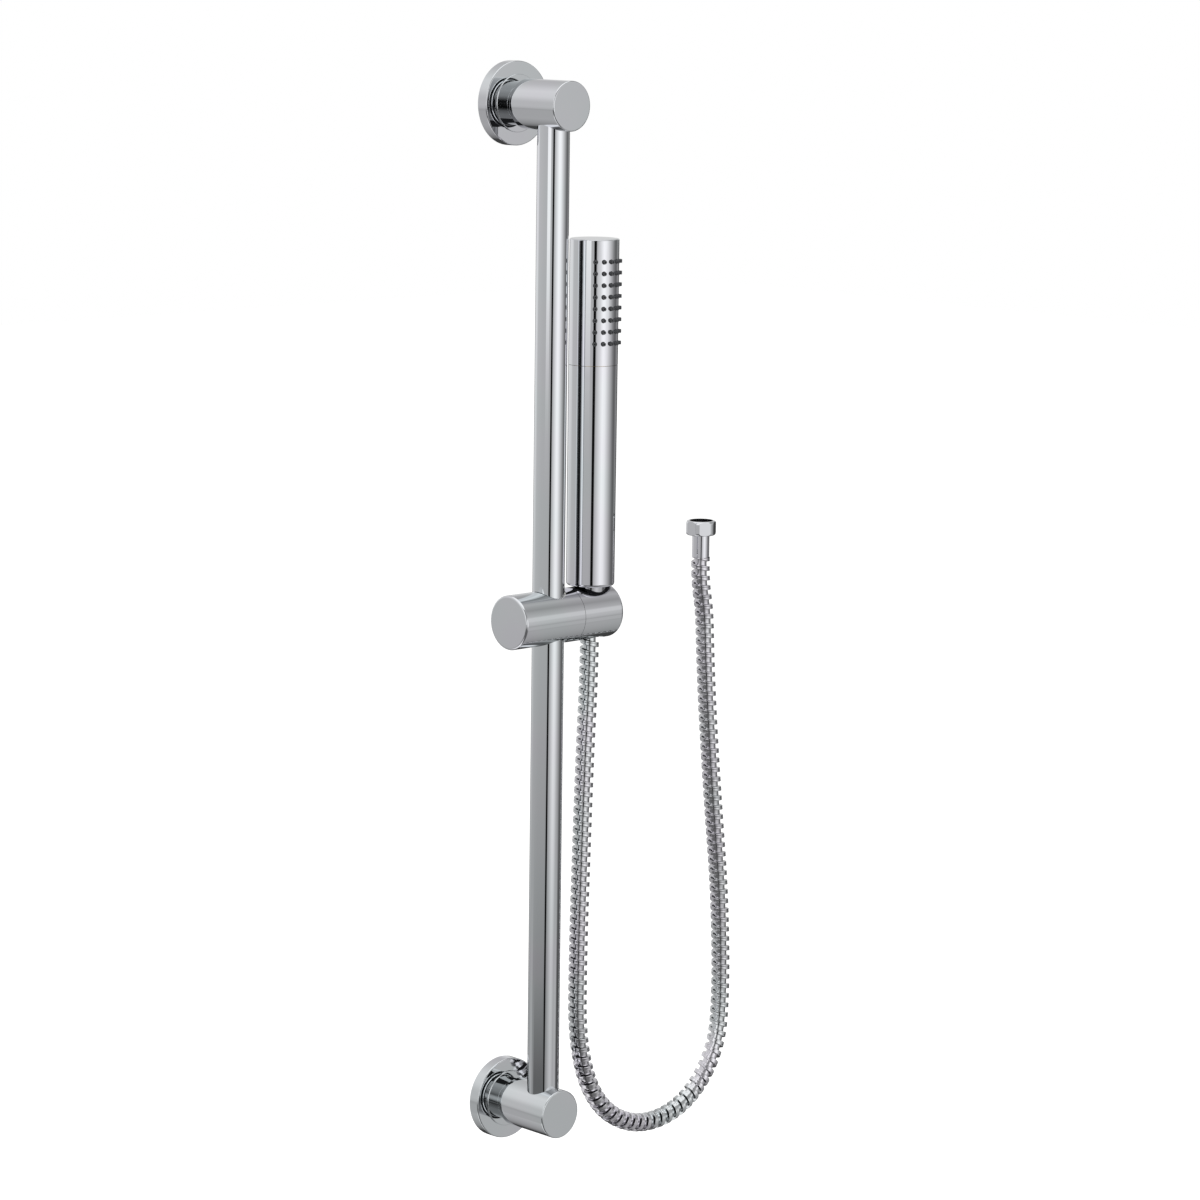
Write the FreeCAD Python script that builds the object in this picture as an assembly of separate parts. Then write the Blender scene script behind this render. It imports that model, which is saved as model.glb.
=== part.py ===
import FreeCAD, Part
import math
import os

# Hand shower on a slide rail. Millimetres.
# The origin is on the wall, midway between the two wall fixings.
# +Z is up, -Y points out of the wall, +X points to the hand shower's side.

# Wall fixings
fixing_spacing = 790.0
anchor_diameter = 50.0
anchor_thickness = 3.0
spigot_diameter = 18.0
spigot_length = 25.0
screw_hole_diameter = 5.5
screw_head_diameter = 11.0
screw_head_depth = 6.0

# Flange covers
flange_diameter = 64.8
flange_depth = 9.5
flange_wall = 1.8
flange_edge = 0.9
collar_diameter = 44.6
collar_height = 1.1
collar_edge = 0.6

# Posts
post_diameter = 38.4
post_shoulder = 21.0
post_overhang = 20.4
post_edge = 1.1
shoulder_edge = 0.4
neck_diameter = 33.6
neck_fillet = 1.2
grub_diameter = 5.0
grub_recess = 1.0
grub_hex = 2.5
grub_hex_depth = 2.5

# Rail
rail_offset = 50.5
rail_diameter = 25.0
rail_wall = 1.5
rail_seat_depth = 11.0
rail_fit = 0.05
rail_end_play = 0.3

# Slider body, end cap and rail bush
slider_diameter = 42.4
slider_reach = 41.5
cap_thickness = 3.0
cap_edge = 1.8
cap_spigot_diameter = 19.0
cap_spigot_length = 4.5
swivel_face = 20.2
swivel_gap = 0.3
bush_thickness = 1.0
bush_recess = 0.9
running_clearance = 0.06
seat_clearance = 0.05

# Brake inside the slider body
brake_bore_diameter = 13.0
brake_plug_length = 5.0
brake_plug_hex = 5.0
spring_washers = 4
spring_washer_thickness = 0.9
spring_washer_rise = 0.8
spring_washer_bore = 6.0
brake_pin_diameter = 5.4

# Swivel holder
socket_offset = 44.3
holder_reach = 62.0
holder_edge = 3.2
liner_thickness = 1.0
liner_recess = 0.4
liner_rest = 0.5
liner_foot = 2.6
pivot_thread_diameter = 6.0
pivot_thread_length = 3.8
pivot_shoulder_diameter = 7.8
pivot_shoulder_length = 5.0
pivot_head_diameter = 10.0
pivot_head_height = 3.0
pivot_hex = 4.0
friction_ring_outer = 25.0
friction_ring_inner = 17.0
friction_ring_thickness = 2.4

# Hand shower shells
wand_gap = 0.3
wand_length = 271.0
handle_step = 0.1
handle_taper = 0.5
handle_floor = 3.0
handle_bottom_edge = 2.2
head_diameter = 38.4
shell_wall = 1.85
shell_seam = 0.3
cap_plate = 1.9
cap_dome = 0.4
cap_rim = 0.8
cap_plug = 5.5

# Nozzles
nozzle_rows = 8
nozzle_columns = 5
nozzle_pitch = 9.03
nozzle_angle = 20.0
first_row_drop = 17.3
last_row_rise = 17.1
nub_root_diameter = 3.6
nub_tip_diameter = 2.9
nub_height = 2.3
jet_diameter = 1.1
nub_clearance = 0.1
mat_thickness = 1.4
mat_margin = 6.0
mat_half_angle = 52.0

# Water way
nipple_diameter = 20.8
nipple_length = 11.0
nipple_neck_diameter = 16.5
lock_nut_height = 4.0
lock_nut_flats = 24.0
barb_diameter = 14.0
barb_length = 12.0
water_bore = 10.0
limiter_diameter = 15.0
limiter_length = 5.0
limiter_hole_diameter = 1.6
limiter_holes = 6
tube_wall = 1.5
chamber_wall = 4.0
chamber_bore = 23.0
chamber_gap = 5.0
sleeve_reach = 10.0
sleeve_stop = 0.6
joint_sleeve_wall = 3.2
joint_seal_section = 2.0

# Cone nut and the top end of the hose
cone_top_diameter = 24.6
cone_bottom_diameter = 20.4
cone_length = 37.8
cone_play = 0.3
thread_clearance = 0.05
seal_thickness = 2.0
seal_bore = 10.0
insert_flange_diameter = 18.4
insert_flange_thickness = 1.6
insert_diameter = 13.8
insert_bore = 8.6
insert_end = 0.7

# Hose. Points are X and Z in the plane of the rail, Z counted from the slider's axis.
hose_diameter = 15.0
hose_bore = 12.4
hose_route = [
    (44.3, -50.0),
    (41.0, -112.0),
    (38.3, -196.0),
    (36.2, -274.0),
    (36.5, -352.0),
    (58.5, -405.0),
    (105.0, -431.0),
    (158.0, -423.0),
    (193.5, -383.5),
    (198.0, -330.0),
    (194.2, -250.0),
    (184.5, -172.0),
    (176.4, -96.0),
    (172.6, -46.0),
    (170.9, -12.0),
    (165.5, 12.0),
]
hose_share = 0.45

# Free end of the hose
end_axis = 165.5
end_height = 31.6
end_sleeve_length = 18.0
union_height = 11.7
union_flats = 22.4
union_diameter = 24.2
union_edge = 2.2
union_turn = 32.0
union_floor = 2.0
union_thread_diameter = 18.8
union_relief_diameter = 19.6
union_play = 0.1
union_swivel_gap = 0.3

# Derived places
half_spacing = fixing_spacing / 2.0
slider_radius = slider_diameter / 2.0
rail_radius = rail_diameter / 2.0
collar_front = flange_depth + collar_height
post_front = rail_offset + post_overhang
bush_outer_radius = rail_radius + running_clearance + bush_thickness
shell_bore = head_diameter - 2 * shell_wall
handle_top_diameter = head_diameter - handle_step
handle_bottom_diameter = handle_top_diameter - handle_taper
wand_bottom = slider_radius + wand_gap
wand_top = wand_bottom + wand_length
first_row = wand_top - first_row_drop
last_row = first_row - (nozzle_rows - 1) * nozzle_pitch
head_bottom = last_row - last_row_rise
handle_top = head_bottom - shell_seam
head_top = wand_top - cap_plate
friction_ring_end = swivel_face + swivel_gap - running_clearance
nipple_end = wand_bottom - nipple_length
cone_top = wand_bottom - cone_play
cone_bottom = cone_top - cone_length
cone_slope = (cone_top_diameter - cone_bottom_diameter) / 2.0 / cone_length
hose_start = cone_bottom - insert_end

UP = FreeCAD.Vector(0, 0, 1)
DOWN = FreeCAD.Vector(0, 0, -1)
RIGHT = FreeCAD.Vector(1, 0, 0)
LEFT = FreeCAD.Vector(-1, 0, 0)
OUT = FreeCAD.Vector(0, -1, 0)
SLIDER_AXIS = FreeCAD.Vector(0, -rail_offset, 0)
WAND_AXIS = FreeCAD.Vector(socket_offset, -rail_offset, 0)
END_AXIS = FreeCAD.Vector(end_axis, -rail_offset, 0)


def turned(profile, base=FreeCAD.Vector(0, 0, 0), direction=UP):
    """Revolve a closed outline of (radius, height) points about an axis."""
    points = [FreeCAD.Vector(radius, 0, height) for radius, height in profile]
    outline = Part.makePolygon(points + [points[0]])
    solid = Part.Face(outline).revolve(FreeCAD.Vector(0, 0, 0), UP, 360)
    solid.Placement = FreeCAD.Placement(base, FreeCAD.Rotation(UP, direction))
    return solid


def rod(diameter, start, end, base, direction=UP):
    """Round rod between two heights along an axis."""
    return Part.makeCylinder(diameter / 2.0, end - start, base + direction * start, direction)


def hexagon(flats, start, end, base, direction=UP):
    """Six-sided prism between two heights along an axis."""
    radius = flats / math.sqrt(3.0)
    angles = [math.radians(60 * step) for step in range(7)]
    points = [FreeCAD.Vector(radius * math.cos(a), radius * math.sin(a), start) for a in angles]
    solid = Part.Face(Part.makePolygon(points)).extrude(UP * (end - start))
    solid.Placement = FreeCAD.Placement(base, FreeCAD.Rotation(UP, direction))
    return solid


def ring_edges(solid, radius, height, base, direction=UP):
    """Circular edges of one radius at one height along an axis."""
    found = []
    for edge in solid.Edges:
        if edge.Degenerated:
            continue
        curve = edge.Curve
        if not isinstance(curve, Part.Circle):
            continue
        level = (curve.Center - base).dot(direction)
        if abs(curve.Radius - radius) < 0.01 and abs(level - height) < 0.01:
            found.append(edge)
    return found


def rounded(solid, size, radius, height, base, direction=UP):
    """Round the circular edges found at a radius and a height."""
    return solid.makeFillet(size, ring_edges(solid, radius, height, base, direction))


def wedge(radius, half_angle, bottom, top):
    """Slice of a cylinder about the hand shower's axis, centred on the front."""
    base = WAND_AXIS + UP * bottom
    solid = Part.makeCylinder(radius, top - bottom, base, UP, 2 * half_angle)
    solid.rotate(WAND_AXIS, UP, -90 - half_angle)
    return solid


def front_direction(angle):
    """Level direction out of the hand shower's front, turned by an angle."""
    turn = math.radians(angle)
    return FreeCAD.Vector(math.sin(turn), -math.cos(turn), 0)


def wall_anchor(height):
    """Plate on the wall with the spigot that carries the post."""
    base = FreeCAD.Vector(0, 0, height)
    radius = spigot_diameter / 2.0
    solid = turned(
        [
            (screw_hole_diameter / 2.0, 0),
            (anchor_diameter / 2.0, 0),
            (anchor_diameter / 2.0, anchor_thickness),
            (radius, anchor_thickness),
            (radius, spigot_length),
            (screw_head_diameter / 2.0, spigot_length),
            (screw_head_diameter / 2.0, screw_head_depth),
            (screw_hole_diameter / 2.0, screw_head_depth),
        ],
        base,
        OUT,
    )
    return solid


def flange_cover(height):
    """Round cup over the anchor with a raised collar round the post."""
    base = FreeCAD.Vector(0, 0, height)
    outer = flange_diameter / 2.0
    collar = collar_diameter / 2.0
    hole = spigot_diameter / 2.0 + seat_clearance
    solid = turned(
        [
            (outer - flange_wall, 0),
            (outer, 0),
            (outer, flange_depth),
            (collar, flange_depth),
            (collar, collar_front),
            (hole, collar_front),
            (hole, flange_depth - flange_wall),
            (outer - flange_wall, flange_depth - flange_wall),
        ],
        base,
        OUT,
    )
    solid = rounded(solid, flange_edge, outer, flange_depth, base, OUT)
    return rounded(solid, collar_edge, collar, collar_front, base, OUT)


def post(height, rail_side):
    """Turned post with a neck, a blind seat for the rail and a grub screw hole."""
    base = FreeCAD.Vector(0, 0, height)
    outer = post_diameter / 2.0
    neck = neck_diameter / 2.0
    bore = spigot_diameter / 2.0 + seat_clearance
    bore_end = spigot_length + rail_end_play
    solid = turned(
        [
            (bore, collar_front),
            (neck, collar_front),
            (neck, post_shoulder),
            (outer, post_shoulder),
            (outer, post_front),
            (0, post_front),
            (0, bore_end),
            (bore, bore_end),
        ],
        base,
        OUT,
    )
    solid = rounded(solid, post_edge, outer, post_front, base, OUT)
    solid = rounded(solid, shoulder_edge, outer, post_shoulder, base, OUT)
    solid = rounded(solid, neck_fillet, neck, post_shoulder, base, OUT)
    seat = base + SLIDER_AXIS - rail_side * rail_seat_depth
    reach = rail_seat_depth + post_diameter
    solid = solid.cut(rod(rail_diameter + 2 * rail_fit, 0, reach, seat, rail_side))
    return solid.cut(rod(grub_diameter, 0, post_diameter, grub_place(height), DOWN))


def grub_place(height):
    """Middle of the neck, where the grub screw's axis crosses the post's axis."""
    return FreeCAD.Vector(0, -(collar_front + post_shoulder) / 2.0, height)


def grub_screw(height):
    """Socket set screw through the neck's underside onto the spigot."""
    base = grub_place(height)
    tip = spigot_diameter / 2.0
    head = neck_diameter / 2.0 - grub_recess
    solid = rod(grub_diameter, tip, head, base, DOWN)
    return solid.cut(hexagon(grub_hex, head - grub_hex_depth, head + 1, base, DOWN))


def rail_tube():
    """Round tube between the two blind seats."""
    bottom = -half_spacing - rail_seat_depth
    top = half_spacing + rail_seat_depth - rail_end_play
    inner = rail_diameter - 2 * rail_wall
    tube = rod(rail_diameter, bottom, top, SLIDER_AXIS)
    return tube.cut(rod(inner, bottom, top, SLIDER_AXIS))


def slider_body():
    """Level cylinder bored for the rail, the brake, the cap and the friction ring."""
    left = -slider_reach + cap_thickness
    solid = rod(slider_diameter, left, swivel_face, SLIDER_AXIS, RIGHT)
    bore = 2 * (bush_outer_radius + seat_clearance)
    solid = solid.cut(rod(bore, -slider_diameter, slider_diameter, SLIDER_AXIS))
    solid = solid.cut(rod(brake_bore_diameter, left, 0, SLIDER_AXIS, RIGHT))
    cap_bore = cap_spigot_diameter + 2 * seat_clearance
    solid = solid.cut(rod(cap_bore, left, left + cap_spigot_length, SLIDER_AXIS, RIGHT))
    thread_start = swivel_face - pivot_thread_length
    solid = solid.cut(rod(pivot_thread_diameter, thread_start, swivel_face, SLIDER_AXIS, RIGHT))
    groove_start = friction_ring_end - friction_ring_thickness
    groove = rod(friction_ring_outer + 2 * seat_clearance, groove_start, swivel_face, SLIDER_AXIS, RIGHT)
    core = rod(friction_ring_inner - 2 * seat_clearance, groove_start, swivel_face, SLIDER_AXIS, RIGHT)
    return solid.cut(groove.cut(core))


def rail_bush():
    """Plastic bush in the slider's cross bore, with a window for the brake pad."""
    reach = slider_radius
    solid = rod(2 * bush_outer_radius, -reach, reach, SLIDER_AXIS)
    solid = solid.cut(rod(rail_diameter + 2 * running_clearance, -reach, reach, SLIDER_AXIS))
    trim = rod(slider_diameter - 2 * bush_recess, -slider_reach, slider_reach, SLIDER_AXIS, RIGHT)
    solid = solid.common(trim)
    window = brake_bore_diameter + 2 * seat_clearance
    return solid.cut(rod(window, -slider_reach, 0, SLIDER_AXIS, RIGHT))


def slider_cap():
    """Pressed-in cap that closes the slider's left end."""
    end = slider_reach
    face = end - cap_thickness
    solid = turned(
        [
            (0, face - cap_spigot_length),
            (cap_spigot_diameter / 2.0, face - cap_spigot_length),
            (cap_spigot_diameter / 2.0, face),
            (slider_radius, face),
            (slider_radius, end),
            (0, end),
        ],
        SLIDER_AXIS,
        LEFT,
    )
    return rounded(solid, cap_edge, slider_radius, end, SLIDER_AXIS, LEFT)


# The brake stack is counted outwards from the rail's axis, towards the cap.
brake_plug_outer = slider_reach - cap_thickness - cap_spigot_length
brake_plug_inner = brake_plug_outer - brake_plug_length
spring_stack = spring_washers * (spring_washer_thickness + spring_washer_rise)
brake_pad_outer = brake_plug_inner - spring_stack


def brake_pad():
    """Plastic shoe with a hollow face on the rail and a pin through the springs."""
    solid = rod(brake_bore_diameter - 2 * seat_clearance, 0, brake_pad_outer, SLIDER_AXIS, LEFT)
    solid = solid.fuse(rod(brake_pin_diameter, 0, brake_plug_inner - 1, SLIDER_AXIS, LEFT))
    return solid.cut(rod(rail_diameter + 2 * running_clearance, -slider_radius, slider_radius, SLIDER_AXIS))


def brake_springs():
    """Stack of conical spring washers, each facing the next."""
    inner = spring_washer_bore / 2.0
    outer = brake_bore_diameter / 2.0 - 4 * seat_clearance
    washers = []
    for number in range(spring_washers):
        low = brake_pad_outer + number * (spring_washer_thickness + spring_washer_rise)
        inner_rise = spring_washer_rise * (number % 2)
        outer_rise = spring_washer_rise - inner_rise
        profile = [
            (inner, low + inner_rise),
            (outer, low + outer_rise),
            (outer, low + outer_rise + spring_washer_thickness),
            (inner, low + inner_rise + spring_washer_thickness),
        ]
        washers.append(turned(profile, SLIDER_AXIS, LEFT))
    return Part.makeCompound(washers)


def brake_plug():
    """Threaded plug with a hexagon socket that sets the brake."""
    solid = rod(brake_bore_diameter, brake_plug_inner, brake_plug_outer, SLIDER_AXIS, LEFT)
    middle = (brake_plug_inner + brake_plug_outer) / 2.0
    return solid.cut(hexagon(brake_plug_hex, middle, brake_plug_outer + 1, SLIDER_AXIS, LEFT))


def friction_ring():
    """Flat ring that holds the holder at its angle."""
    start = friction_ring_end - friction_ring_thickness
    ring = rod(friction_ring_outer, start, friction_ring_end, SLIDER_AXIS, RIGHT)
    return ring.cut(rod(friction_ring_inner, start, friction_ring_end, SLIDER_AXIS, RIGHT))


# The pivot screw's head sits in a counterbore that opens into the socket.
pivot_head_seat = swivel_face + pivot_shoulder_length


def pivot_screw():
    """Shoulder screw that the holder turns on."""
    thread_start = swivel_face - pivot_thread_length
    head_end = pivot_head_seat + pivot_head_height
    solid = turned(
        [
            (0, thread_start),
            (pivot_thread_diameter / 2.0, thread_start),
            (pivot_thread_diameter / 2.0, swivel_face),
            (pivot_shoulder_diameter / 2.0, swivel_face),
            (pivot_shoulder_diameter / 2.0, pivot_head_seat),
            (pivot_head_diameter / 2.0, pivot_head_seat),
            (pivot_head_diameter / 2.0, head_end),
            (0, head_end),
        ],
        SLIDER_AXIS,
        RIGHT,
    )
    return solid.cut(hexagon(pivot_hex, head_end - pivot_head_height / 2.0, head_end + 1, SLIDER_AXIS, RIGHT))


def cone_radius(height):
    """Outer radius of the cone nut at a height."""
    return cone_top_diameter / 2.0 - (cone_top - height) * cone_slope


def socket_cone(offset, bottom, top):
    """Cone that follows the cone nut at a distance."""
    profile = [
        (0, bottom),
        (cone_radius(bottom) + offset, bottom),
        (cone_radius(top) + offset, top),
        (0, top),
    ]
    return turned(profile, WAND_AXIS)


# The liner stands on a rest in the holder's bore, a little above the holder's underside.
liner_bottom = cone_bottom + liner_foot
liner_outer = seat_clearance + liner_thickness


def holder():
    """Level cylinder with a conical socket and the pivot's bore."""
    start = swivel_face + swivel_gap
    solid = rod(slider_diameter, start, holder_reach, SLIDER_AXIS, RIGHT)
    solid = rounded(solid, holder_edge, slider_radius, holder_reach, SLIDER_AXIS, RIGHT)
    solid = solid.cut(socket_cone(liner_outer + seat_clearance, liner_bottom, wand_bottom))
    rest = 2 * (cone_radius(liner_bottom) + liner_rest)
    solid = solid.cut(rod(rest, -slider_diameter, liner_bottom, WAND_AXIS))
    hole = pivot_shoulder_diameter + 2 * running_clearance
    solid = solid.cut(rod(hole, start, socket_offset, SLIDER_AXIS, RIGHT))
    counterbore = pivot_head_diameter + 2 * swivel_gap
    head_floor = pivot_head_seat - swivel_gap
    return solid.cut(rod(counterbore, head_floor, socket_offset, SLIDER_AXIS, RIGHT))


def socket_liner():
    """Plastic cone in the holder that takes the cone nut, trimmed to the holder's round top."""
    solid = socket_cone(liner_outer, liner_bottom, wand_bottom)
    trim = rod(slider_diameter - 2 * liner_recess, swivel_face, holder_reach, SLIDER_AXIS, RIGHT)
    solid = solid.common(trim)
    return solid.cut(socket_cone(seat_clearance, liner_bottom - 1, wand_bottom + 1))


def handle_shell():
    """Slightly tapered tube with a closed floor."""
    inner = shell_bore / 2.0
    bottom_radius = handle_bottom_diameter / 2.0
    solid = turned(
        [
            (nipple_neck_diameter / 2.0 + seat_clearance, wand_bottom),
            (bottom_radius, wand_bottom),
            (handle_top_diameter / 2.0, handle_top),
            (inner, handle_top),
            (inner, wand_bottom + handle_floor),
            (nipple_neck_diameter / 2.0 + seat_clearance, wand_bottom + handle_floor),
        ],
        WAND_AXIS,
    )
    return rounded(solid, handle_bottom_edge, bottom_radius, wand_bottom, WAND_AXIS)


def nozzle_places():
    """Height and angle of every nozzle, row by row from the top."""
    places = []
    for row in range(nozzle_rows):
        height = first_row - row * nozzle_pitch
        for column in range(nozzle_columns):
            angle = (column - (nozzle_columns - 1) / 2.0) * nozzle_angle
            places.append((height, angle))
    return places


def spray_shell():
    """Straight tube with a round hole for every nozzle."""
    inner = shell_bore / 2.0
    tube = rod(head_diameter, head_bottom, head_top, WAND_AXIS)
    tube = tube.cut(rod(shell_bore, head_bottom, head_top, WAND_AXIS))
    holes = []
    for height, angle in nozzle_places():
        way = front_direction(angle)
        base = WAND_AXIS + UP * height
        holes.append(rod(nub_root_diameter + 2 * nub_clearance, inner / 2.0, head_diameter, base, way))
    return tube.cut(holes)


def top_cap():
    """Round cap with a plug into the spray shell."""
    radius = head_diameter / 2.0
    plug = shell_bore / 2.0 - seat_clearance
    solid = turned(
        [
            (0, head_top - cap_plug),
            (plug, head_top - cap_plug),
            (plug, head_top),
            (radius, head_top),
            (radius, wand_top),
            (0, wand_top),
        ],
        WAND_AXIS,
    )
    dome_radius = (radius ** 2 + cap_dome ** 2) / (2 * cap_dome)
    dome = Part.makeSphere(dome_radius, WAND_AXIS + UP * (wand_top - dome_radius))
    solid = solid.common(dome)
    return rounded(solid, cap_rim, radius, wand_top - cap_dome, WAND_AXIS)


# The mat covers all nozzles with a margin and lies against the shell's bore.
mat_top = first_row + mat_margin
mat_bottom = last_row - mat_margin
mat_outer = shell_bore / 2.0 - seat_clearance
mat_inner = mat_outer - mat_thickness


def nozzle_mat():
    """Curved rubber sheet with a tapered nub and a jet for every nozzle."""
    sheet = wedge(mat_outer, mat_half_angle, mat_bottom, mat_top)
    sheet = sheet.cut(rod(2 * mat_inner, mat_bottom, mat_top, WAND_AXIS))
    nubs = []
    jets = []
    root = mat_inner + mat_thickness / 2.0
    tip = head_diameter / 2.0 + nub_height
    for height, angle in nozzle_places():
        way = front_direction(angle)
        base = WAND_AXIS + UP * height
        cone = [(0, root), (nub_root_diameter / 2.0, root), (nub_tip_diameter / 2.0, tip), (0, tip)]
        nubs.append(turned(cone, base, way))
        jets.append(rod(jet_diameter, mat_inner - 1, tip + 1, base, way))
    return sheet.fuse(nubs).cut(jets)


def spray_chamber():
    """Plastic body that backs the mat and spreads the water to it."""
    bottom = head_bottom + chamber_gap
    top = head_top - cap_plug
    outer = 2 * mat_outer
    solid = rod(outer, bottom, top, WAND_AXIS)
    pocket = wedge(head_diameter, mat_half_angle + 1, mat_bottom - seat_clearance, mat_top + seat_clearance)
    pocket = pocket.cut(rod(2 * (mat_inner - seat_clearance), mat_bottom - 1, mat_top + 1, WAND_AXIS))
    solid = solid.cut(pocket)
    solid = solid.cut(rod(chamber_bore, bottom + chamber_wall, top - chamber_wall, WAND_AXIS))
    window_angle = (nozzle_columns - 1) / 2.0 * nozzle_angle + 5
    window_bottom = mat_bottom + mat_margin / 2.0
    window_top = mat_top - mat_margin / 2.0
    solid = solid.cut(wedge(mat_outer, window_angle, window_bottom, window_top))
    solid = solid.fuse(rod(barb_diameter, bottom - barb_length, bottom, WAND_AXIS))
    return solid.cut(rod(water_bore, bottom - barb_length, bottom + chamber_wall, WAND_AXIS))


def joint_sleeve():
    """Threaded sleeve that holds the two shells together."""
    outer = shell_bore - 2 * seat_clearance
    bottom = handle_top - sleeve_reach
    top = head_bottom + chamber_gap - sleeve_stop
    solid = rod(outer, bottom, top, WAND_AXIS)
    solid = solid.cut(rod(outer - 2 * joint_sleeve_wall, bottom, top, WAND_AXIS))
    groove_outer = rod(outer, joint_seal_low(), joint_seal_low() + joint_seal_section, WAND_AXIS)
    groove_core = outer - 2 * joint_seal_section
    groove_inner = rod(groove_core, joint_seal_low(), joint_seal_low() + joint_seal_section, WAND_AXIS)
    return solid.cut(groove_outer.cut(groove_inner))


def joint_seal_low():
    """Lower edge of the seal groove in the joint sleeve."""
    return handle_top - sleeve_reach / 2.0 - joint_seal_section / 2.0


def joint_seal():
    """Round rubber ring in the joint sleeve's groove."""
    radius = joint_seal_section / 2.0
    middle = shell_bore / 2.0 - seat_clearance - radius
    centre = WAND_AXIS + UP * (joint_seal_low() + radius)
    return Part.makeTorus(middle, radius, centre, UP)


def inlet_nipple():
    """Threaded inlet under the handle with a pocket for the flow limiter."""
    neck = nipple_neck_diameter / 2.0
    floor_top = wand_bottom + handle_floor
    solid = turned(
        [
            (0, nipple_end),
            (nipple_diameter / 2.0, nipple_end),
            (nipple_diameter / 2.0, wand_bottom),
            (neck, wand_bottom),
            (neck, floor_top + lock_nut_height),
            (barb_diameter / 2.0, floor_top + lock_nut_height),
            (barb_diameter / 2.0, floor_top + lock_nut_height + barb_length),
            (0, floor_top + lock_nut_height + barb_length),
        ],
        WAND_AXIS,
    )
    solid = solid.cut(rod(water_bore, nipple_end, floor_top + lock_nut_height + barb_length, WAND_AXIS))
    pocket = limiter_diameter + 2 * seat_clearance
    return solid.cut(rod(pocket, nipple_end, nipple_end + limiter_length, WAND_AXIS))


def lock_nut():
    """Hexagon nut inside the handle that holds the inlet nipple."""
    bottom = wand_bottom + handle_floor
    top = bottom + lock_nut_height
    solid = hexagon(lock_nut_flats, bottom, top, WAND_AXIS)
    return solid.cut(rod(nipple_neck_diameter + 2 * thread_clearance, bottom, top, WAND_AXIS))


def flow_limiter():
    """Disc with a ring of small holes in the nipple's mouth."""
    bottom = nipple_end
    top = nipple_end + limiter_length
    solid = rod(limiter_diameter, bottom, top, WAND_AXIS)
    holes = []
    for number in range(limiter_holes):
        turn = math.radians(360.0 * number / limiter_holes)
        side = FreeCAD.Vector(math.cos(turn), math.sin(turn), 0)
        base = WAND_AXIS + side * (water_bore / 3.0)
        holes.append(rod(limiter_hole_diameter, bottom, top, base))
    return solid.cut(holes)


def water_tube():
    """Plastic tube from the inlet nipple to the spray chamber."""
    bottom = wand_bottom + handle_floor + lock_nut_height + seat_clearance
    top = head_bottom + chamber_gap - seat_clearance
    inner = barb_diameter + 2 * seat_clearance
    tube = rod(inner + 2 * tube_wall, bottom, top, WAND_AXIS)
    return tube.cut(rod(inner, bottom, top, WAND_AXIS))


def flat_seal(outer, bottom, base):
    """Flat rubber ring."""
    ring = rod(outer, bottom, bottom + seal_thickness, base)
    return ring.cut(rod(seal_bore, bottom, bottom + seal_thickness, base))


# Heights inside the cone nut, from the nipple's mouth downwards
top_seal_bottom = nipple_end - seal_thickness
top_flange_bottom = top_seal_bottom - insert_flange_thickness


def cone_nut():
    """Conical nut that joins the hose to the inlet and sits in the socket."""
    bore = nipple_diameter / 2.0 + thread_clearance
    neck = insert_diameter / 2.0 + union_play
    profile = [
        (neck, cone_bottom),
        (cone_bottom_diameter / 2.0, cone_bottom),
        (cone_top_diameter / 2.0, cone_top),
        (bore, cone_top),
        (bore, top_flange_bottom),
        (neck, top_flange_bottom),
    ]
    return turned(profile, WAND_AXIS)


def hose_insert(flange_top, far_end, base):
    """Flanged tube that the hose is pressed onto."""
    bore = insert_bore / 2.0
    flange_end = flange_top - insert_flange_thickness
    profile = [
        (bore, far_end),
        (insert_diameter / 2.0, far_end),
        (insert_diameter / 2.0, flange_end),
        (insert_flange_diameter / 2.0, flange_end),
        (insert_flange_diameter / 2.0, flange_top),
        (bore, flange_top),
    ]
    return turned(profile, base)


def route_points():
    """The hose's whole route: the insert's end, the chosen points and the end sleeve."""
    points = [FreeCAD.Vector(socket_offset, -rail_offset, hose_start)]
    for across, height in hose_route:
        points.append(FreeCAD.Vector(across, -rail_offset, height))
    points.append(FreeCAD.Vector(end_axis, -rail_offset, end_height))
    return points


def rounded_route(points):
    """Straight runs joined by tangent arcs that are as large as the runs allow."""
    edges = []
    start = points[0]
    radii = []
    for before, corner, after in zip(points, points[1:], points[2:]):
        back = before - corner
        ahead = after - corner
        trim = hose_share * min(back.Length, ahead.Length)
        back.normalize()
        ahead.normalize()
        turn = math.pi - back.getAngle(ahead)
        radius = trim / math.tan(turn / 2.0)
        middle = back + ahead
        middle.normalize()
        reach = math.hypot(radius, trim) - radius
        arc_start = corner + back * trim
        arc_end = corner + ahead * trim
        edges.append(Part.LineSegment(start, arc_start).toShape())
        edges.append(Part.Arc(arc_start, corner + middle * reach, arc_end).toShape())
        radii.append(radius)
        start = arc_end
    edges.append(Part.LineSegment(start, points[-1]).toShape())
    return Part.Wire(edges), radii


def hose():
    """Plain tube along the hanging route."""
    points = route_points()
    path, radii = rounded_route(points)
    outer = Part.Wire(Part.makeCircle(hose_diameter / 2.0, points[0], DOWN))
    inner = Part.Wire(Part.makeCircle(hose_bore / 2.0, points[0], DOWN))
    solid = path.makePipeShell([outer], True, False)
    core = path.makePipeShell([inner], True, False)
    solid = solid.cut(core)
    section = math.pi / 4.0 * (hose_diameter ** 2 - hose_bore ** 2)
    print("hose length %.1f mm" % path.Length)
    print("hose bend radii mm:", " ".join("%.0f" % radius for radius in radii))
    print("hose volume / (section x length) %.4f" % (solid.Volume / (section * path.Length)))
    return solid


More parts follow.
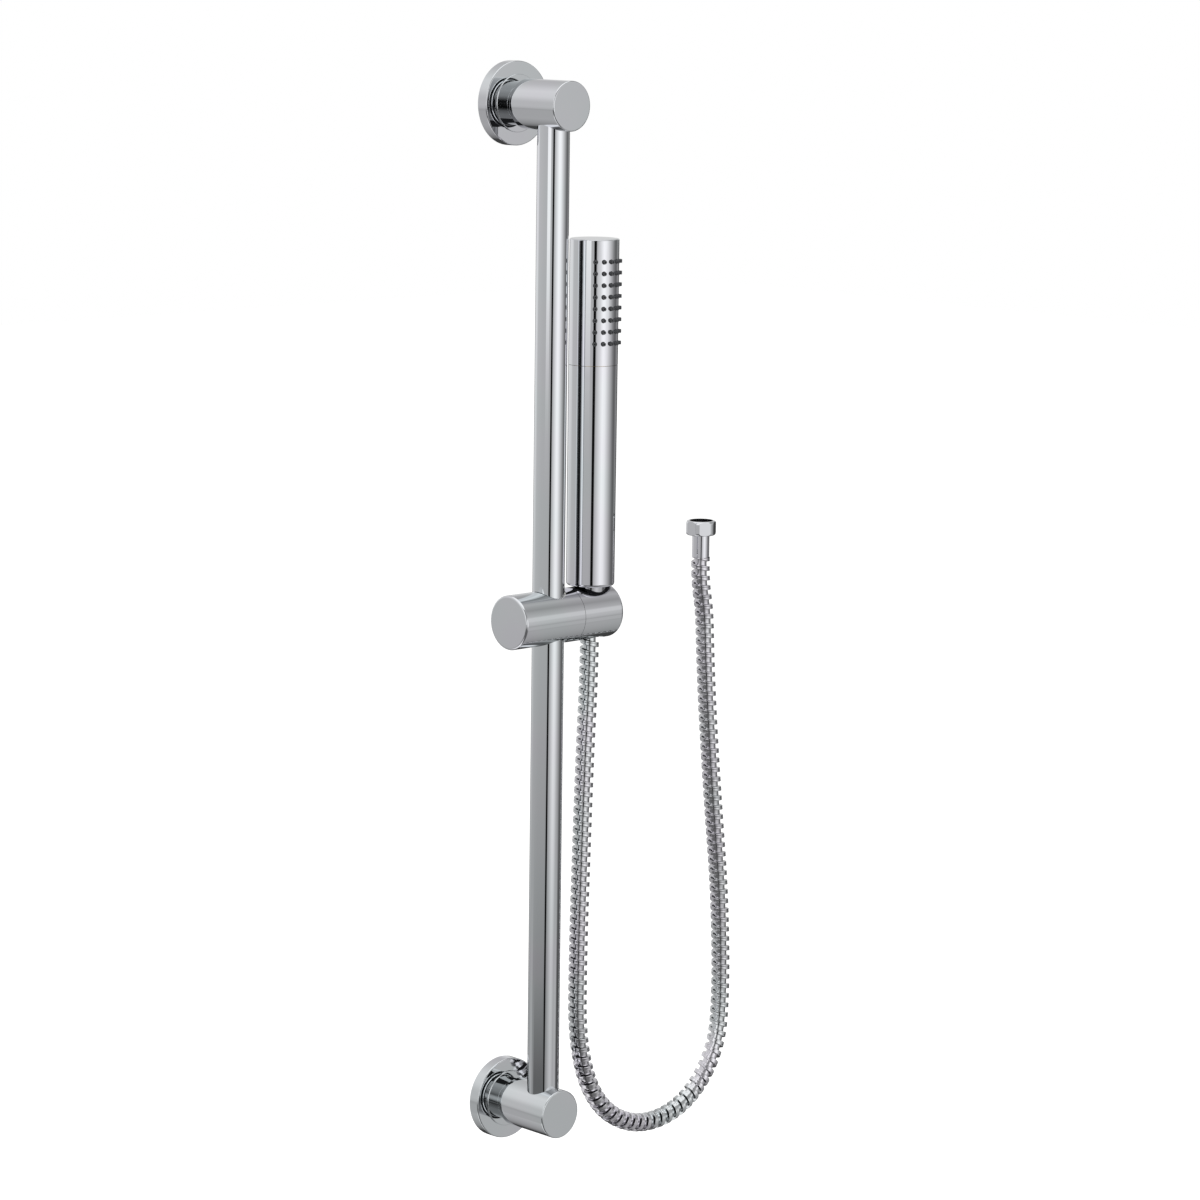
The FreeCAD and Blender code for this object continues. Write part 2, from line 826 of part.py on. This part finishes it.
# Heights in the free end, from the hose upwards
union_bottom = end_height + end_sleeve_length
union_top = union_bottom + union_height
union_floor_top = union_bottom + union_floor
end_flange_bottom = union_floor_top + union_swivel_gap
end_flange_top = end_flange_bottom + insert_flange_thickness
union_seal_bottom = end_flange_top + union_swivel_gap
union_relief_top = union_seal_bottom + seal_thickness
union_seal_diameter = union_relief_diameter - 2 * seat_clearance


def union_nut():
    """Rounded hexagon nut, free to turn on the end sleeve."""
    solid = rod(union_diameter, union_bottom, union_top, END_AXIS)
    solid = rounded(solid, union_edge, union_diameter / 2.0, union_top, END_AXIS)
    solid = rounded(solid, union_edge, union_diameter / 2.0, union_bottom, END_AXIS)
    hexes = hexagon(union_flats, union_bottom, union_top, END_AXIS)
    hexes.rotate(END_AXIS, UP, union_turn)
    solid = solid.common(hexes)
    neck = insert_diameter + 2 * union_play
    solid = solid.cut(rod(neck, union_bottom, union_top, END_AXIS))
    solid = solid.cut(rod(union_relief_diameter, union_floor_top, union_relief_top, END_AXIS))
    return solid.cut(rod(union_thread_diameter, union_relief_top, union_top, END_AXIS))


def build():
    """Every piece by name."""
    pieces = {}
    for name, height, rail_side in (("lower", -half_spacing, UP), ("upper", half_spacing, DOWN)):
        pieces[name + "_anchor"] = wall_anchor(height)
        pieces[name + "_flange"] = flange_cover(height)
        pieces[name + "_post"] = post(height, rail_side)
        pieces[name + "_grub_screw"] = grub_screw(height)
    pieces["rail_tube"] = rail_tube()

    pieces["slider_body"] = slider_body()
    pieces["slider_cap"] = slider_cap()
    pieces["rail_bush"] = rail_bush()
    pieces["brake_pad"] = brake_pad()
    pieces["brake_springs"] = brake_springs()
    pieces["brake_plug"] = brake_plug()
    pieces["friction_ring"] = friction_ring()
    pieces["pivot_screw"] = pivot_screw()

    pieces["holder"] = holder()
    pieces["socket_liner"] = socket_liner()
    pieces["handle_shell"] = handle_shell()
    pieces["spray_shell"] = spray_shell()
    pieces["top_cap"] = top_cap()
    pieces["nozzle_mat"] = nozzle_mat()
    pieces["spray_chamber"] = spray_chamber()
    pieces["joint_sleeve"] = joint_sleeve()
    pieces["joint_seal"] = joint_seal()
    pieces["inlet_nipple"] = inlet_nipple()
    pieces["lock_nut"] = lock_nut()
    pieces["flow_limiter"] = flow_limiter()
    pieces["water_tube"] = water_tube()

    pieces["cone_nut"] = cone_nut()
    pieces["inlet_seal"] = flat_seal(insert_flange_diameter, top_seal_bottom, WAND_AXIS)
    pieces["top_insert"] = hose_insert(top_seal_bottom, hose_start, WAND_AXIS)
    pieces["hose"] = hose()
    pieces["end_sleeve"] = hose_insert(end_flange_top, end_height, END_AXIS)
    pieces["union_seal"] = flat_seal(union_seal_diameter, union_seal_bottom, END_AXIS)
    pieces["union_nut"] = union_nut()
    return pieces


def main():
    """Write one file for each piece."""
    os.makedirs("parts", exist_ok=True)
    for name, shape in build().items():
        if not shape.isValid():
            print("not valid:", name)
        shape.exportStep("parts/" + name + ".step")
        print("%-18s solids %d volume %.0f" % (name, len(shape.Solids), shape.Volume))


main()
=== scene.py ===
import math

import bmesh
import bpy
from mathutils import Matrix, Vector
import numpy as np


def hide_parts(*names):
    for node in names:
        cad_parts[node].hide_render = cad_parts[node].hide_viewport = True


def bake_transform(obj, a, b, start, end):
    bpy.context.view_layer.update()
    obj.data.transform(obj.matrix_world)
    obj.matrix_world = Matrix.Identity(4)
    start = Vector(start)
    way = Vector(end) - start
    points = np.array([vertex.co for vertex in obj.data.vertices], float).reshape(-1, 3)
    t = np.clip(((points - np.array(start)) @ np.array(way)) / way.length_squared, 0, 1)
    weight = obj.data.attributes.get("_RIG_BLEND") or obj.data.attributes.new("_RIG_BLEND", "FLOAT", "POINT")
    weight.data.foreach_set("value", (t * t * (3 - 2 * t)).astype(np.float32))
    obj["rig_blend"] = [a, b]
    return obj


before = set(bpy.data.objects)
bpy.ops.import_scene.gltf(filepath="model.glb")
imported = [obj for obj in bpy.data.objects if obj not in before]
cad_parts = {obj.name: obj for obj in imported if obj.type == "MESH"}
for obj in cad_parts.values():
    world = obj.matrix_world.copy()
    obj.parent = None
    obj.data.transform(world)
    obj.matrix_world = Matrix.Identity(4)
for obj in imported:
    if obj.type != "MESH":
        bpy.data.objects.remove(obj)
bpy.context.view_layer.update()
scene = bpy.context.scene
MM = 0.001


# Camera, at the photograph's viewing angle

AZIMUTH = math.radians(-43.365)
PITCH = math.radians(9.404)
ROLL = math.radians(0.767)
DISTANCE = 3.1147
TARGET = Vector((20.735, -86.918, 16.296)) * MM
LENS = 120.946
SENSOR_WIDTH = 36.0
FAR_CLIP = 50.0

toward = Vector(
    (
        math.sin(AZIMUTH) * math.cos(PITCH),
        -math.cos(AZIMUTH) * math.cos(PITCH),
        math.sin(PITCH),
    )
)
level = (-toward).cross(Vector((0, 0, 1))).normalized()
upward = level.cross(-toward)
right = math.cos(ROLL) * level + math.sin(ROLL) * upward
up = -math.sin(ROLL) * level + math.cos(ROLL) * upward

camera_data = bpy.data.cameras.new("camera")
camera_data.lens = LENS
camera_data.sensor_width = SENSOR_WIDTH
camera_data.clip_end = FAR_CLIP
camera = bpy.data.objects.new("camera", camera_data)
scene.collection.objects.link(camera)
turned = Matrix((right, up, toward)).transposed().to_4x4()
camera.matrix_world = Matrix.Translation(TARGET + toward * DISTANCE) @ turned
scene.camera = camera


# Hose: one smooth spline with the route's points as control points

HOSE_Y = -50.5
ROUTE_STEPS = 24
ROUTE = [
    (44.3, -17.3),
    (44.3, -50.0),
    (41.0, -112.0),
    (38.3, -196.0),
    (36.2, -274.0),
    (36.5, -352.0),
    (58.5, -405.0),
    (105.0, -431.0),
    (158.0, -423.0),
    (193.5, -383.5),
    (198.0, -330.0),
    (194.2, -250.0),
    (184.5, -172.0),
    (176.4, -96.0),
    (172.6, -46.0),
    (170.9, -12.0),
    (165.5, 12.0),
    (165.5, 31.6),
]


def spline_points(route):
    """The points of the route's smooth line, in order."""
    curve = bpy.data.curves.new("hose_line", "CURVE")
    curve.dimensions = "3D"
    spline = curve.splines.new("NURBS")
    spline.points.add(len(route) - 1)
    for point, (x, z) in zip(spline.points, route):
        point.co = (x * MM, HOSE_Y * MM, z * MM, 1.0)
    spline.order_u = 3
    spline.use_endpoint_u = True
    spline.resolution_u = ROUTE_STEPS
    line = bpy.data.objects.new("hose_line", curve)
    mesh = bpy.data.meshes.new_from_object(line)
    points = [v.co.copy() for v in mesh.vertices]
    bpy.data.objects.remove(line)
    bpy.data.curves.remove(curve)
    bpy.data.meshes.remove(mesh)
    return points


def walker(points):
    """Place and direction at a distance along a line of points."""
    reach = [0.0]
    for a, b in zip(points, points[1:]):
        reach.append(reach[-1] + (b - a).length)
    tangents = []
    for i in range(len(points)):
        before = points[max(i - 1, 0)]
        after = points[min(i + 1, len(points) - 1)]
        tangents.append((after - before).normalized())

    def at(s):
        s = min(max(s, 0.0), reach[-1])
        low, high = 0, len(reach) - 1
        while high - low > 1:
            middle = (low + high) // 2
            if reach[middle] <= s:
                low = middle
            else:
                high = middle
        t = (s - reach[low]) / (reach[high] - reach[low])
        place = points[low].lerp(points[high], t)
        return place, tangents[low].lerp(tangents[high], t).normalized()

    return at, reach[-1]


hose_line = spline_points(ROUTE)
hose_at, hose_length = walker(hose_line)

# One turn of the wound strip: distance along the hose and radius
TURN = 8.0
STRIP = [
    (0.00, 4.95),
    (1.85, 4.90),
    (3.70, 4.95),
    (3.86, 5.20),
    (3.94, 6.95),
    (4.08, 7.38),
    (4.42, 7.50),
    (4.95, 7.43),
    (5.90, 7.40),
    (6.85, 7.43),
    (7.32, 7.50),
    (7.66, 7.36),
    (7.82, 6.95),
    (7.90, 5.20),
]
AROUND = 40
TURN_DIRECTION = -1
WELD = 0.01 * MM
SHARP_EDGE = math.radians(38)


def wound_hose():
    """A tube whose strip winds round the hose's line as one long thread."""
    across = Vector((0, 1, 0))
    turns = int(hose_length / (TURN * MM)) + 2
    rows = []
    for n in range(-1, turns):
        for along, radius in STRIP:
            row = []
            for j in range(AROUND):
                angle = 2 * math.pi * j / AROUND
                s = (n * TURN + along + TURN * j / AROUND) * MM
                row.append((s, radius * MM, angle * TURN_DIRECTION))
            rows.append(row)
    mesh = bmesh.new()
    grid = []
    for row in rows:
        ring = []
        for s, radius, angle in row:
            place, direction = hose_at(s)
            side = across.cross(direction)
            offset = math.cos(angle) * side + math.sin(angle) * across
            ring.append(mesh.verts.new(place + radius * offset))
        grid.append(ring)
    step = len(STRIP)

    def beside(i, j):
        """The next place round the thread: past the last one, a turn further on."""
        return (i, j + 1) if j < AROUND - 1 else (i + step, 0)

    for i in range(len(grid) - step - 1):
        for j in range(AROUND):
            places = ((i, j), beside(i, j), beside(i + 1, j), (i + 1, j))
            corners = [grid[a][b] for a, b in places]
            reach = [rows[a][b][0] for a, b in places]
            if max(reach) <= 0.0 or min(reach) >= hose_length:
                continue
            mesh.faces.new(corners)
    loose = [v for v in mesh.verts if not v.link_faces]
    bmesh.ops.delete(mesh, geom=loose, context="VERTS")
    bmesh.ops.remove_doubles(mesh, verts=mesh.verts, dist=WELD)
    bmesh.ops.recalc_face_normals(mesh, faces=mesh.faces)
    for face in mesh.faces:
        face.smooth = True
    data = bpy.data.meshes.new("metal_hose")
    mesh.to_mesh(data)
    mesh.free()
    data.set_sharp_from_angle(angle=SHARP_EDGE)
    piece = bpy.data.objects.new("metal_hose", data)
    scene.collection.objects.link(piece)
    return piece


metal_hose = wound_hose()
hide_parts("hose")
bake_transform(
    metal_hose,
    "holder",
    "slider",
    start=(44.3 * MM, HOSE_Y * MM, -20.0 * MM),
    end=(41.0 * MM, HOSE_Y * MM, -150.0 * MM),
)

# The blend above goes by height alone. The hose's rise comes back up past those
# heights, and all of it stays with the slider, as its end sleeve does.
RISE_FROM = 100.0 * MM
ALL_SLIDER = 1.0
shares = metal_hose.data.attributes["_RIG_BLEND"].data
for vertex in metal_hose.data.vertices:
    if vertex.co.x > RISE_FROM:
        shares[vertex.index].value = ALL_SLIDER


# Node helpers


class Nodes:
    """Adds nodes to a tree and links them in one call."""

    def __init__(self, tree):
        self.tree = tree
        tree.nodes.clear()

    def add(self, kind, settings=None, **inputs):
        node = self.tree.nodes.new(kind)
        for key, value in (settings or {}).items():
            setattr(node, key, value)
        for key, value in inputs.items():
            self.put(node, key.replace("_", " "), value)
        return node

    def put(self, node, key, value):
        socket = node.inputs[key]
        if isinstance(value, bpy.types.NodeSocket):
            self.tree.links.new(value, socket)
        else:
            socket.default_value = value

    def math(self, operation, first, second=None, third=None, clamp=False):
        node = self.tree.nodes.new("ShaderNodeMath")
        node.operation = operation
        node.use_clamp = clamp
        for i, value in enumerate((first, second, third)):
            if value is not None:
                self.put(node, i, value)
        return node.outputs[0]

    def ramp(self, factor, stops, interpolation="LINEAR"):
        node = self.tree.nodes.new("ShaderNodeValToRGB")
        self.tree.links.new(factor, node.inputs[0])
        line = node.color_ramp
        line.interpolation = interpolation
        while len(line.elements) < len(stops):
            line.elements.new(1.0)
        for element, (place, value) in zip(line.elements, stops):
            element.position = place
            colour = value if isinstance(value, tuple) else (value, value, value)
            element.color = (*colour, 1.0)
        return node.outputs[0]

    def mix(self, factor, first, second):
        node = self.tree.nodes.new("ShaderNodeMix")
        node.data_type = "RGBA"
        self.put(node, 0, factor)
        self.put(node, 6, first)
        self.put(node, 7, second)
        return node.outputs[2]

    def noise(self, scale, detail, vector, roughness=0.5):
        node = self.add(
            "ShaderNodeTexNoise",
            Scale=scale,
            Detail=detail,
            Roughness=roughness,
            Vector=vector,
        )
        return node.outputs[0]


# World: a white surround for the camera, soft studio panels in reflections

# Directions are in degrees: round from the viewer's side, which is 0, and up from
# the horizon. Each row is a direction and the brightness of the studio there.

# Round the horizon
ROUND_HORIZON = [
    (-180, 0.66),
    (-140, 0.66),
    (-128, 0.56),
    (-105, 0.50),
    (-60, 0.46),
    (-12, 0.45),
    (-1.4, 0.42),
    (0.2, 0.004),
    (11, 0.004),
    (13, 0.44),
    (23, 0.61),
    (35, 0.82),
    (47, 1.0),
    (60, 0.92),
    (74, 0.67),
    (89, 0.44),
    (106, 0.21),
    (119, 0.11),
    (130, 0.17),
    (144, 0.28),
    (152, 0.56),
    (180, 0.66),
]

# Up through the horizon, as a share of the brightness round it
NEAR_HORIZON = [
    (-45, 0.50),
    (-15, 0.54),
    (-13, 0.70),
    (-9.7, 0.90),
    (-4, 1.0),
    (20, 1.0),
]

# Round the upper part
ROUND_ABOVE = [
    (-180, 0.45),
    (-150, 0.52),
    (-115, 0.68),
    (-85, 0.62),
    (-47, 0.76),
    (-10, 0.46),
    (4, 0.20),
    (12, 0.22),
    (24, 0.28),
    (52, 0.30),
    (70, 0.36),
    (87, 0.44),
    (98, 0.30),
    (119, 0.42),
    (130, 0.37),
    (141, 0.24),
    (154, 0.36),
    (167, 0.33),
    (180, 0.45),
]

# Round the lower part
ROUND_BELOW = [
    (-180, 0.07),
    (-160, 0.12),
    (-140, 0.28),
    (-107, 0.42),
    (-60, 0.20),
    (-12, 0.10),
    (0, 0.04),
    (10, 0.09),
    (20, 0.14),
    (50, 0.15),
    (71, 0.29),
    (92, 0.38),
    (115, 0.32),
    (138, 0.25),
    (156, 0.07),
    (180, 0.07),
]

# Where the horizon gives way to the upper and to the lower part
ABOVE_FROM, ABOVE_FULL = 6, 28
BELOW_FULL, BELOW_FROM = -28, -15

# Lit windows and dark flags: sides, heights, how soft both are, and brightness
PATCHES = [
    ((-118, -96), (-34, -16), (8, 6), 0.38),
    ((-150, -122), (-3, 12), (14, 8), 0.74),
    ((80, 100), (5, 12), (8, 6), 0.58),
    ((78, 96), (-22, -15), (8, 4), 0.42),
    ((-36, -15), (-3.4, 34), (2.5, 4.2), 0.93),
    ((-75, 2), (-30, -16), (1, 1), 0.12),
    ((-98, -45), (-80, -38), (12, 6), 0.80),
    ((151, 179.9), (-50, -4), (4, 5), 0.05),
    ((-179.9, -161), (-50, -4), (6, 5), 0.05),
    ((-179.9, 179.9), (57, 90), (0.1, 8), 0.95),
]

# After this many mirror bounces the studio is as dark as it is between two pieces
BOUNCES_SEEN = 2.5
FADED = (0.012, 0.012, 0.012, 1)
SURROUND = (0.62, 0.62, 0.62, 1)
WHITE = (1, 1, 1, 1)


def turn_of(degrees):
    """The ramp position of a direction round the viewer."""
    return (degrees + 180.0) / 360.0


def rise_of(degrees):
    """The ramp position of a height above the horizon."""
    return turn_of(2 * degrees)


def placed(rows, position):
    return [(position(degrees), value) for degrees, value in rows]


def studio_world():
    world = bpy.data.worlds.new("studio")
    world.use_nodes = True
    scene.world = world
    world.cycles.sampling_method = "NONE"
    n = Nodes(world.node_tree)
    direction = n.add("ShaderNodeTexCoord").outputs["Generated"]

    def along(axis):
        dot = n.add("ShaderNodeVectorMath", {"operation": "DOT_PRODUCT"})
        n.put(dot, 0, direction)
        n.put(dot, 1, axis)
        return dot.outputs["Value"]

    front = Vector((math.sin(AZIMUTH), -math.cos(AZIMUTH), 0))
    ahead = along(tuple(front))
    aside = along((-front.y, front.x, 0))
    turn = n.math("ARCTAN2", aside, ahead)
    turn = n.math("MULTIPLY_ADD", turn, 0.5 / math.pi, 0.5)
    rise = n.math("ARCSINE", along((0, 0, 1)))
    rise = n.math("MULTIPLY_ADD", rise, 1 / math.pi, 0.5)

    band = n.ramp(turn, placed(ROUND_HORIZON, turn_of))
    lift = n.ramp(rise, placed(NEAR_HORIZON, rise_of))
    above = n.ramp(turn, placed(ROUND_ABOVE, turn_of))
    below = n.ramp(turn, placed(ROUND_BELOW, turn_of))
    up_rows = [(ABOVE_FROM, 0.0), (ABOVE_FULL, 1.0)]
    up_share = n.ramp(rise, placed(up_rows, rise_of), "EASE")
    down_rows = [(BELOW_FULL, 1.0), (BELOW_FROM, 0.0)]
    down_share = n.ramp(rise, placed(down_rows, rise_of), "EASE")
    horizon = n.add("ShaderNodeVectorMath", {"operation": "MULTIPLY"})
    n.put(horizon, 0, band)
    n.put(horizon, 1, lift)
    panels = n.mix(up_share, horizon.outputs[0], above)
    panels = n.mix(down_share, panels, below)

    def window(factor, edges, soft, position):
        low, high = edges
        rows = [(low - soft, 0.0), (low, 1.0), (high, 1.0), (high + soft, 0.0)]
        return n.ramp(factor, placed(rows, position), "EASE")

    for sides, heights, soft, shade in PATCHES:
        across = window(turn, sides, soft[0], turn_of)
        upward = window(rise, heights, soft[1], rise_of)
        share = n.math("MULTIPLY", across, upward)
        panels = n.mix(share, panels, (shade, shade, shade, 1))

    path = n.add("ShaderNodeLightPath")
    often = n.math("GREATER_THAN", path.outputs["Glossy Depth"], BOUNCES_SEEN)
    panels = n.mix(often, panels, FADED)
    plain = n.mix(path.outputs["Is Glossy Ray"], SURROUND, panels)
    seen = n.mix(path.outputs["Is Camera Ray"], plain, WHITE)
    background = n.add("ShaderNodeBackground", Color=seen, Strength=1.0)
    n.add("ShaderNodeOutputWorld", Surface=background.outputs[0])


studio_world()


# Materials


def new_material(name):
    material = bpy.data.materials.new(name)
    material.use_nodes = True
    return material, Nodes(material.node_tree)


def finish(n, shader):
    n.add("ShaderNodeOutputMaterial", Surface=shader.outputs[0])


def plated(name, colour, low, high, ripple, tint):
    """Bright plated metal: even polish with faint clouds and a faint ripple."""
    material, n = new_material(name)
    place = n.add("ShaderNodeTexCoord").outputs["Object"]
    clouds = n.noise(38.0, 4.0, place)
    rough = n.add(
        "ShaderNodeMapRange",
        **{"From_Min": 0.35, "From_Max": 0.7, "To_Min": low, "To_Max": high},
        Value=clouds,
    )
    broad = n.noise(9.0, 2.0, place)
    bump = n.add("ShaderNodeBump", Strength=ripple, Distance=0.002, Height=broad)
    wash = n.noise(16.0, 1.0, place)
    cool = tuple(c * f for c, f in zip(colour, (1 - tint, 1.0, 1 - tint * 0.4)))
    warm = tuple(c * f for c, f in zip(colour, (1.0, 1 - tint, 1.0)))
    shade = n.ramp(wash, [(0.40, cool), (0.50, colour), (0.60, warm)])
    shader = n.add(
        "ShaderNodeBsdfPrincipled",
        Metallic=1.0,
        Roughness=rough.outputs[0],
        Normal=bump.outputs[0],
    )
    n.put(shader, "Base Color", shade)
    finish(n, shader)
    return material


def cast(name, colour, grain, rough, metallic, depth):
    """Unpolished metal, rubber or moulded plastic with a fine grain."""
    material, n = new_material(name)
    place = n.add("ShaderNodeTexCoord").outputs["Object"]
    fine = n.noise(grain, 5.0, place)
    dark = tuple(c * 0.82 for c in colour)
    light = tuple(min(c * 1.12, 1.0) for c in colour)
    shade = n.ramp(fine, [(0.35, dark), (0.5, colour), (0.68, light)])
    blotch = n.noise(grain * 0.12, 3.0, place)
    spread = n.add(
        "ShaderNodeMapRange",
        **{"From_Min": 0.3, "From_Max": 0.7},
        Value=blotch,
    )
    n.put(spread, "To Min", rough * 0.85)
    n.put(spread, "To Max", min(rough * 1.15, 1.0))
    bump = n.add("ShaderNodeBump", Strength=depth, Distance=0.0003, Height=fine)
    shader = n.add(
        "ShaderNodeBsdfPrincipled",
        Metallic=metallic,
        Roughness=spread.outputs[0],
        Normal=bump.outputs[0],
    )
    n.put(shader, "Base Color", shade)
    finish(n, shader)
    return material


# Name, colour, least and most roughness, ripple and tint
PLATED = [
    ("chrome", (0.905, 0.925, 0.955), 0.018, 0.045, 0.02, 0.02),
    ("hose_metal", (0.89, 0.90, 0.925), 0.02, 0.045, 0.02, 0.03),
    ("steel", (0.62, 0.62, 0.63), 0.22, 0.32, 0.05, 0.01),
    ("brass", (0.80, 0.62, 0.30), 0.20, 0.30, 0.05, 0.02),
]

# Name, colour, fineness of the grain, roughness, metallic and depth of the grain
CAST = [
    ("zinc_casting", (0.48, 0.49, 0.50), 700.0, 0.46, 1.0, 0.30),
    ("grey_rubber", (0.060, 0.062, 0.066), 900.0, 0.50, 0.0, 0.20),
    ("black_rubber", (0.022, 0.022, 0.023), 900.0, 0.55, 0.0, 0.20),
    ("white_plastic", (0.74, 0.74, 0.72), 800.0, 0.38, 0.0, 0.12),
    ("dark_plastic", (0.035, 0.036, 0.038), 800.0, 0.42, 0.0, 0.15),
]

materials = {row[0]: plated(*row) for row in PLATED}
materials.update({row[0]: cast(*row) for row in CAST})

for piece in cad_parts.values():
    for slot in piece.material_slots:
        slot.material = materials[slot.material.name.split(".")[0]]
metal_hose.data.materials.append(materials["hose_metal"])


# Floor and lamps

# The floor lies below the hose's lowest place with the slider right down
FLOOR_MIDDLE = (0.08, 0.0, -0.82)
FLOOR_REACH = 9.0
FLOOR_COLOUR = (0.86, 0.86, 0.86, 1)

# The floor whitens from the shadow under the object outwards, for the camera alone
GLOW_FROM, GLOW_FULL = 0.25, 0.60
GLOW_NEAR, GLOW_FAR = 0.15, 0.55


def pale_floor():
    mesh = bmesh.new()
    bmesh.ops.create_grid(mesh, x_segments=2, y_segments=2, size=FLOOR_REACH)
    data = bpy.data.meshes.new("floor")
    mesh.to_mesh(data)
    mesh.free()
    floor = bpy.data.objects.new("floor", data)
    floor.location = FLOOR_MIDDLE
    scene.collection.objects.link(floor)
    material, n = new_material("floor")
    diffuse = n.add("ShaderNodeBsdfDiffuse", Color=FLOOR_COLOUR)
    away = n.add("ShaderNodeVectorMath", {"operation": "LENGTH"})
    n.put(away, 0, n.add("ShaderNodeTexCoord").outputs["Object"])
    share = n.add("ShaderNodeMapRange", {"interpolation_type": "SMOOTHSTEP"})
    n.put(share, "Value", away.outputs["Value"])
    n.put(share, "From Min", GLOW_FROM)
    n.put(share, "From Max", GLOW_FULL)
    n.put(share, "To Min", GLOW_NEAR)
    n.put(share, "To Max", GLOW_FAR)
    path = n.add("ShaderNodeLightPath")
    strength = n.math("MULTIPLY", path.outputs["Is Camera Ray"], share.outputs[0])
    glow = n.add("ShaderNodeEmission", Color=WHITE, Strength=strength)
    both = n.add("ShaderNodeAddShader")
    n.put(both, 0, diffuse.outputs[0])
    n.put(both, 1, glow.outputs[0])
    finish(n, both)
    data.materials.append(material)
    floor.visible_glossy = False


# Name, place and power of each square lamp, which is aimed at the object's middle
LAMPS = [
    ("key", (-1.6, -2.2, 2.2), 42),
    ("fill", (2.4, -1.4, 1.2), 18),
]
LAMP_SIZE = 1.6


def panel(name, place, power):
    light = bpy.data.lights.new(name, "AREA")
    light.shape = "SQUARE"
    light.size = LAMP_SIZE
    light.energy = power
    lamp = bpy.data.objects.new(name, light)
    scene.collection.objects.link(lamp)
    place = Vector(place)
    look = (-place).to_track_quat("-Z", "Y")
    lamp.matrix_world = Matrix.Translation(place) @ look.to_matrix().to_4x4()
    lamp.visible_glossy = False
    lamp.visible_camera = False


pale_floor()
for lamp_name, lamp_place, lamp_power in LAMPS:
    panel(lamp_name, lamp_place, lamp_power)


# Colour handling

scene.view_settings.view_transform = "Standard"
